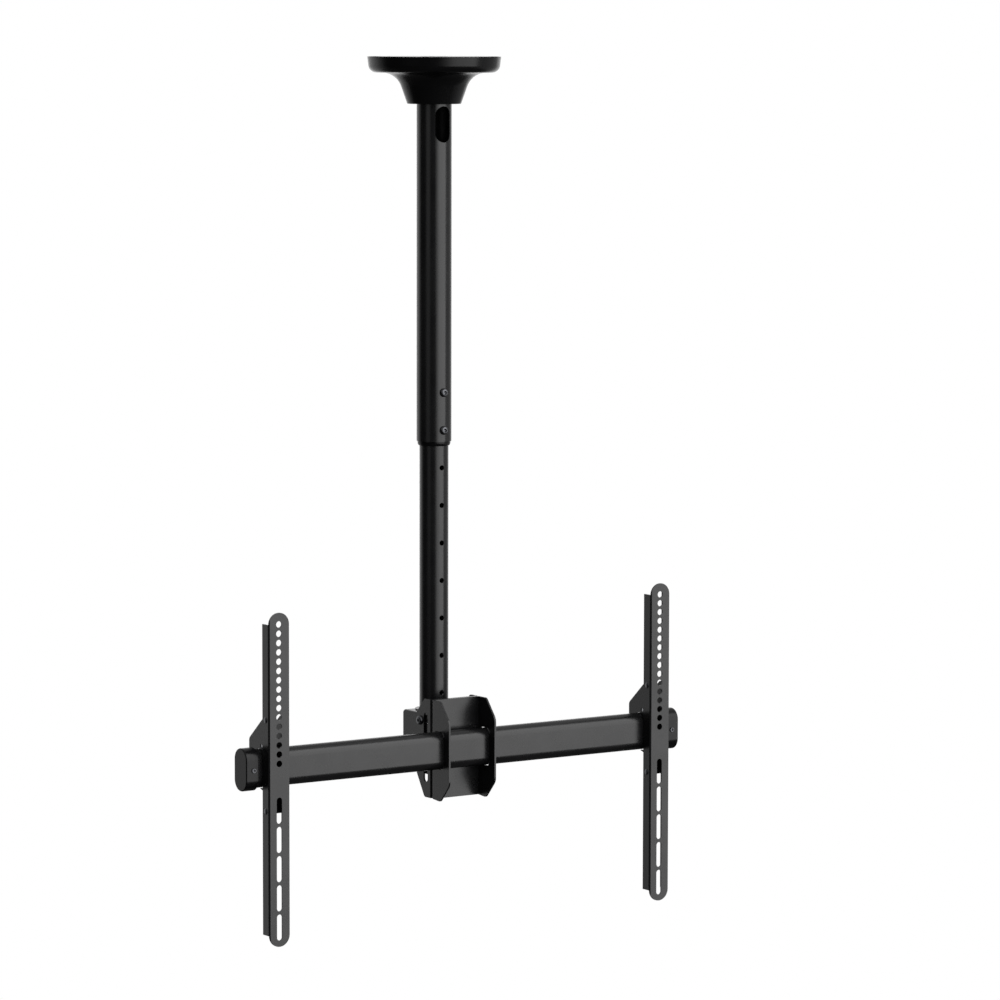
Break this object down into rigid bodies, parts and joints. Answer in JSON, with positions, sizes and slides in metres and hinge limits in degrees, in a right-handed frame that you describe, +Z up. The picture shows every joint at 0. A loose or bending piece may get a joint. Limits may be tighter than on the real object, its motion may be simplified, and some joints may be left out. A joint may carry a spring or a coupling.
{
  "type": "tv ceiling mount",
  "caption": "Ceiling mount for a flat screen: telescopic pole with a bell canopy, a swivelling and tilting head, and a cross rail with hook-on slotted screen arms.",
  "frame": {"origin": "on the pole's axis, in the ceiling plane", "axes": "+Z up, +Y backwards away from the screen, +X along the rail to the right seen from the front"},
  "size_m": [0.682, 0.1865, 1.1398],
  "materials": {
    "painted_steel": "satin black powder coat",
    "black_plastic": "matt black moulded plastic",
    "blackened_steel": "black zinc plating",
    "zinc_steel": "clear zinc plating"
  },
  "bodies": {
    "ceiling_fix": {"ceiling_plate": "painted_steel", "upper_tube": "painted_steel", "cross_bolts": "blackened_steel", "cross_nuts": "blackened_steel", "tube_collar": "black_plastic", "lock_screws": "blackened_steel"},
    "canopy": {"canopy_cover": "black_plastic"},
    "drop_pole": {"lower_tube": "painted_steel", "tube_plug": "zinc_steel", "swivel_washer": "black_plastic", "steel_washer": "zinc_steel", "swivel_bolt": "blackened_steel"},
    "swivel_head": {"pole_yoke": "painted_steel"},
    "tilt_head": {"tilt_bracket": "painted_steel", "tilt_pivot_bolts": "blackened_steel", "tilt_pivot_nuts": "blackened_steel", "tilt_clamp_bolts": "blackened_steel", "tilt_clamp_nuts": "blackened_steel"},
    "rail_head": {"rail_channel": "painted_steel", "level_studs": "zinc_steel", "level_spacers": "black_plastic", "level_nuts": "blackened_steel", "cross_rail": "painted_steel", "rail_screws": "blackened_steel", "end_cap_left": "black_plastic", "end_cap_right": "black_plastic", "cap_screws": "blackened_steel"},
    "left_screen_arm": {"left_arm": "painted_steel", "left_hook_bracket": "painted_steel", "left_hanger_pin": "zinc_steel", "left_arm_rivets": "blackened_steel", "left_safety_screw": "blackened_steel"},
    "right_screen_arm": {"right_arm": "painted_steel", "right_hook_bracket": "painted_steel", "right_hanger_pin": "zinc_steel", "right_arm_rivets": "blackened_steel", "right_safety_screw": "blackened_steel"}
  },
  "joints": [
    {"name": "cover_slide", "type": "slide", "parent": "ceiling_fix", "child": "canopy", "axis": [0, 0, -1], "range_m": [0, 0.35]},
    {"name": "height_slide", "type": "slide", "parent": "ceiling_fix", "child": "drop_pole", "axis": [0, 0, 1], "range_m": [0, 0.35]},
    {"name": "swivel", "type": "hinge", "parent": "drop_pole", "child": "swivel_head", "pos_m": [0, 0, -0.866], "axis": [0, 0, 1], "range_deg": [-180, 180]},
    {"name": "tilt", "type": "hinge", "parent": "swivel_head", "child": "tilt_head", "pos_m": [0, -0.024, -0.935], "axis": [1, 0, 0], "range_deg": [-2, 12]},
    {"name": "level", "type": "hinge", "parent": "tilt_head", "child": "rail_head", "pos_m": [0, -0.05, -0.91], "axis": [0, 1, 0], "range_deg": [-3, 3]},
    {"name": "left_arm_slide", "type": "slide", "parent": "rail_head", "child": "left_screen_arm", "axis": [1, 0, 0], "range_m": [-0.006, 0.2]},
    {"name": "right_arm_slide", "type": "slide", "parent": "rail_head", "child": "right_screen_arm", "axis": [-1, 0, 0], "range_m": [-0.006, 0.2]}
  ]
}
